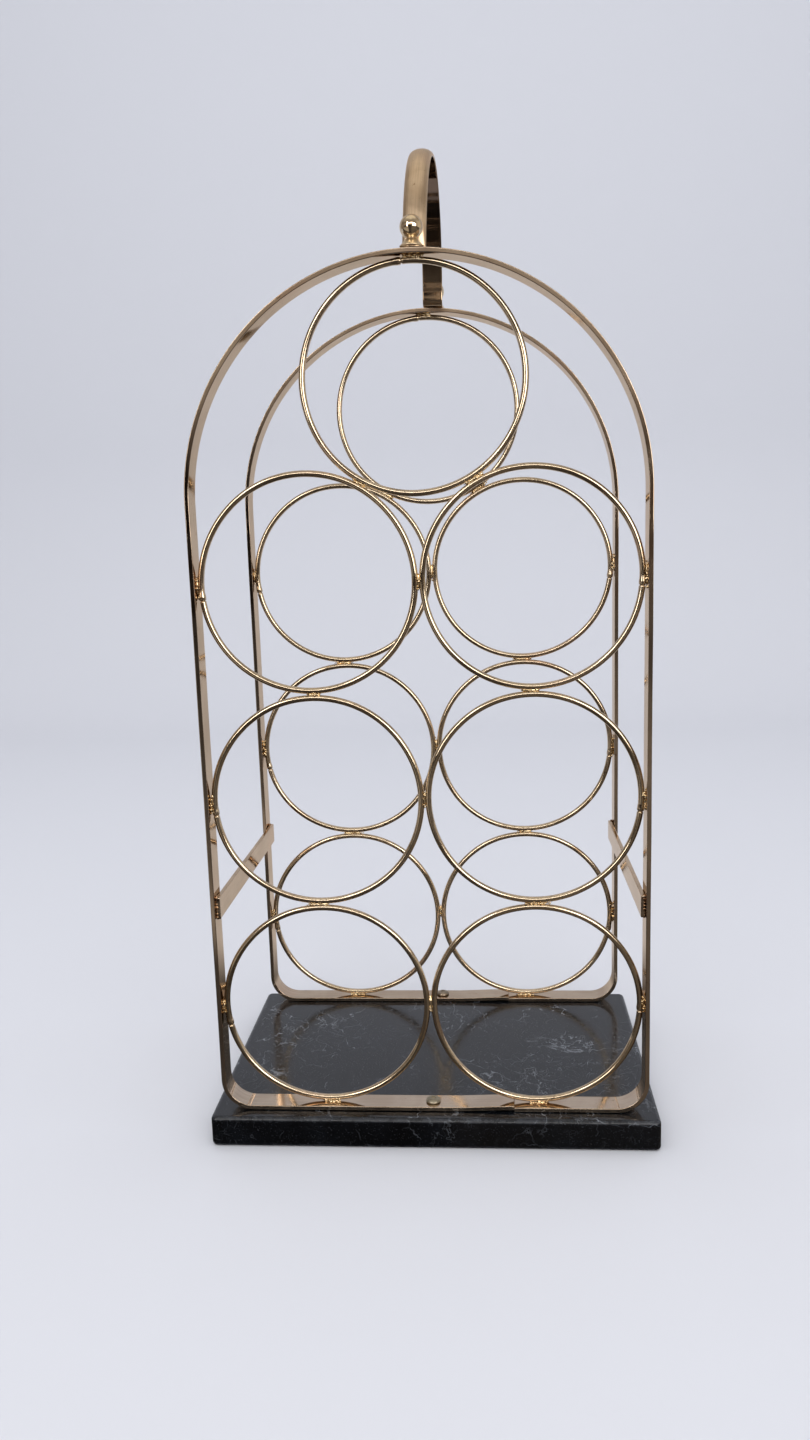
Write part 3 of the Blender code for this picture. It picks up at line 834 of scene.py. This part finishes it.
def make_brazing(side):
    """A long body of filler in each crevice, and small drops round it: a crust at the bar.

    A drop's place is even along the body and on a bell curve across it, and it lies in front
    of the wires twice as often as behind them.
    """
    spots = []
    for x, y, z, crevice, on_bar in contact_spots(side):
        c, s = math.cos(crevice), math.sin(crevice)
        drops, largest, spread = DROPS_AT_BAR if on_bar else DROPS_AT_WIRE
        length = shuffle.uniform(3.6, 5.6) * MM
        slide = shuffle.normal(0, 0.8) * MM
        spots.append((x + slide * c, y, z + slide * s, crevice, length,
                      shuffle.uniform(0.6, 0.9) * MM, shuffle.uniform(0.8, 1.1) * MM))
        for _ in range(drops):
            run = slide + shuffle.uniform(-1, 1) * length * 1.2
            off = shuffle.normal(0, spread)
            deep = shuffle.choice((-1, -1, 1)) * shuffle.uniform(0.9, 1.75) * MM
            size = shuffle.uniform(SMALLEST_DROP, largest)
            spots.append((x + run * c - off * s, y + deep, z + run * s + off * c,
                          crevice + shuffle.normal(0, 0.5), size * shuffle.uniform(1.0, 1.7),
                          size, size * shuffle.uniform(0.7, 1.1)))
    lumps(spots, BRAZE_FINISH, side + "_brazing")


BEADS = 7


def make_welds():
    """Rough brown beads down the crevice between each stretcher end and the upright.

    They are evenly spaced from the bottom of the bar to its top, each a little off the line.
    """
    spots = []
    for hand, sign in HANDS.items():
        low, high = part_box(hand + "_stretcher")
        x = sign * (OUTER_RADIUS - BAR_THICK) - sign * 0.7 * MM
        for y in (low.y + 0.6 * MM, high.y - 1.6 * MM):
            for z in np.linspace(low.z + MM, high.z - 0.6 * MM, BEADS):
                spots.append((x, y + shuffle.normal(0, 0.3) * MM, z, np.pi / 2,
                              shuffle.uniform(0.9, 1.5) * MM, shuffle.uniform(0.7, 1.1) * MM,
                              shuffle.uniform(0.8, 1.3) * MM))
    lumps(spots, WELD_FINISH, "stretcher_welds")


make_rings()
for side_name in SIDES:
    make_arch(side_name)
    make_screw(side_name)
    make_finial(side_name)
    make_brazing(side_name)
for hand_name in HANDS:
    make_stretcher(hand_name)
make_handle()
make_welds()
make_slab()


# ---------------------------------------------------------------- stage, light and camera

PAPER = (0.70, 0.708, 0.74)
FLOOR_SEEN = (0.030, 0.023, 0.017)
# Painted light, seen only in polished metal: a pool of window light on the floor, and a lighter
# floor to the right.
WINDOW_LIGHT_ON_FLOOR = (0.42, 0.37, 0.30)
LIT_FLOOR_RIGHT = (0.10, 0.080, 0.060)
DAYLIGHT = (1.0, 0.96, 0.90)
SKYLIGHT = (0.95, 0.97, 1.0)
EVEN_LIGHT = (0.70, 0.71, 0.76)
BACKDROP = (0.64, 0.645, 0.70)
LOW_LEFT, LOW_RIGHT = (0.012, 0.008, 0.006), (0.11, 0.085, 0.065)
BRIGHT_BAND = (0.44, 0.38, 0.32)
FRONT_WALL = (0.21, 0.18, 0.16)
LEFT_WALL, RIGHT_WALL = (0.22, 0.19, 0.17), (0.66, 0.60, 0.52)
HIGH_WALL = (0.38, 0.35, 0.32)
CEILING = (0.85, 0.80, 0.72)
LOOK_AT = (0, 0, 0.3)


def bearing(tree, x, y):
    """Sideways over forwards: the tangent of the angle to the left or right of straight ahead."""
    ahead = math_node(tree, "MAXIMUM", math_node(tree, "MULTIPLY", y, -1.0), 0.02)
    return math_node(tree, "DIVIDE", x, ahead)


def stage_finish():
    """Pale matt paper. Polished metal sees it as a brown floor, with a painted pool of window
    light on the left and painted light on the right.

    Only glossy rays see the brown, and only in front of 0.22 m behind the middle of the base.
    """
    made, tree, shader = new_finish("pale_paper", Roughness=0.95, Metallic=0.0)
    parts = add_node(tree, "SeparateXYZ", Vector=object_place(tree)).outputs
    turn = bearing(tree, parts["X"], parts["Y"])
    # Painted light: the floor seen by metal grows lighter to the right and has a pool of window
    # light at the front left.
    floor = blend_colours(tree, remap(tree, turn, -0.04, 0.20), (*FLOOR_SEEN, 1),
                          (*LIT_FLOOR_RIGHT, 1))
    lit = remap(tree, turn, -0.40, -0.55)
    lit = math_node(tree, "MULTIPLY", lit, remap(tree, parts["Y"], -0.28, -0.42))
    floor = blend_colours(tree, lit, floor, (*WINDOW_LIGHT_ON_FLOOR, 1))
    seen = add_node(tree, "LightPath").outputs["Is Glossy Ray"]
    near = math_node(tree, "MULTIPLY", seen, remap(tree, parts["Y"], 0.22, 0.10))
    tone = blend_colours(tree, near, (*PAPER, 1), floor)
    tree.links.new(tone, shader.inputs["Base Color"])
    return made


def make_stage():
    """A pale floor that sweeps up into a pale wall: a profile in depth carried straight across."""
    half, start, cove, height = 4.0, 1.1, 0.5, 3.2
    angle = np.linspace(0, np.pi / 2, 24)
    y = np.concatenate([[-4.0, -1.0, 0.0], start + cove * np.sin(angle), [start + cove]])
    z = np.concatenate([[0, 0, 0], cove * (1 - np.cos(angle)), [height]])
    count = len(y)
    points = [(x, py, pz) for x in (-half, half) for py, pz in zip(y, z)]
    faces = [(i, count + i, count + i + 1, i + 1) for i in range(count - 1)]
    mesh = bpy.data.meshes.new("pale_sweep")
    mesh.from_pydata(points, [], faces)
    mesh.shade_smooth()
    mesh.materials.append(stage_finish())
    sweep = bpy.data.objects.new("pale_sweep", mesh)
    bpy.context.scene.collection.objects.link(sweep)


def soft_box(name, place, aim, width, height, power, colour):
    """A rectangular lamp whose face looks from its place towards the aim."""
    lamp = bpy.data.lights.new(name, "AREA")
    lamp.shape = "RECTANGLE"
    lamp.size, lamp.size_y = width, height
    lamp.energy, lamp.color = power, colour
    holder = bpy.data.objects.new(name, lamp)
    holder.location = place
    holder.rotation_euler = (Vector(aim) - Vector(place)).to_track_quat("-Z", "Y").to_euler()
    bpy.context.scene.collection.objects.link(holder)
    return holder


def make_world():
    """Even pale light, and for polished metal a room that is brown in front and pale behind.

    The room is mixed from below upwards: a dark floor's edge, a bright band, the front wall,
    the sides, the high wall and the ceiling, each by a smooth step of the direction.
    """
    world = bpy.data.worlds.new("soft_room")
    bpy.context.scene.world = world
    world.use_nodes = True
    tree = world.node_tree
    way = add_node(tree, "TexCoord").outputs["Generated"]
    parts = add_node(tree, "SeparateXYZ", Vector=way).outputs
    turn = bearing(tree, parts["X"], parts["Y"])
    low = blend_colours(tree, remap(tree, turn, -0.15, 0.10), (*LOW_LEFT, 1), (*LOW_RIGHT, 1))
    front = blend_colours(tree, remap(tree, parts["Z"], 0.05, 0.17), low, (*BRIGHT_BAND, 1))
    front = blend_colours(tree, remap(tree, parts["Z"], 0.30, 0.42), front, (*FRONT_WALL, 1))
    sides = blend_colours(tree, remap(tree, parts["X"], -0.4, 0.6), (*LEFT_WALL, 1),
                          (*RIGHT_WALL, 1))
    room = blend_colours(tree, remap(tree, parts["Y"], -0.70, -0.20), front, sides)
    room = blend_colours(tree, remap(tree, parts["Z"], 0.5, 0.7), room, (*HIGH_WALL, 1))
    room = blend_colours(tree, remap(tree, parts["Z"], 0.8, 0.95), room, (*CEILING, 1))
    path = add_node(tree, "LightPath").outputs
    tone = blend_colours(tree, path["Is Glossy Ray"], (*EVEN_LIGHT, 1), room)
    tone = blend_colours(tree, path["Is Camera Ray"], tone, (*BACKDROP, 1))
    tree.links.new(tone, tree.nodes["Background"].inputs["Color"])


EYE = (31.3 * MM, -571.65 * MM, 306.7 * MM)
YAW, PITCH, ROLL = math.radians(4.475), math.radians(-9.77), math.radians(-1.806)
LENS, SENSOR_WIDTH = 26.665, 36.0


def make_camera():
    """Eye level two thirds up the rack, a little right of it, looking slightly down and left."""
    data = bpy.data.cameras.new("eye")
    data.lens, data.sensor_width = LENS, SENSOR_WIDTH
    camera = bpy.data.objects.new("eye", data)
    look = Matrix.Rotation(YAW, 4, "Z") @ Matrix.Rotation(math.pi / 2 + PITCH, 4, "X")
    camera.matrix_world = Matrix.Translation(EYE) @ look @ Matrix.Rotation(ROLL, 4, "Z")
    bpy.context.scene.collection.objects.link(camera)
    bpy.context.scene.camera = camera


make_stage()
make_world()
make_camera()
left_window = soft_box("left_window", (-0.86, -1.25, 0.84), LOOK_AT, 0.30, 1.1, 7.0, DAYLIGHT)
right_window = soft_box("right_window", (0.80, -1.27, 0.62), LOOK_AT, 0.90, 0.62, 8.5, DAYLIGHT)
for window in (left_window, right_window):
    window.visible_diffuse = False
soft_box("high_window", (0.10, -1.40, 1.05), LOOK_AT, 1.9, 0.22, 8.5, DAYLIGHT)
overhead = soft_box("ceiling", (0.0, 0.1, 2.0), (0, 0.1, 0), 2.0, 1.8, 14.0, SKYLIGHT)
overhead.visible_glossy = False
bpy.context.scene.view_settings.view_transform = "Standard"
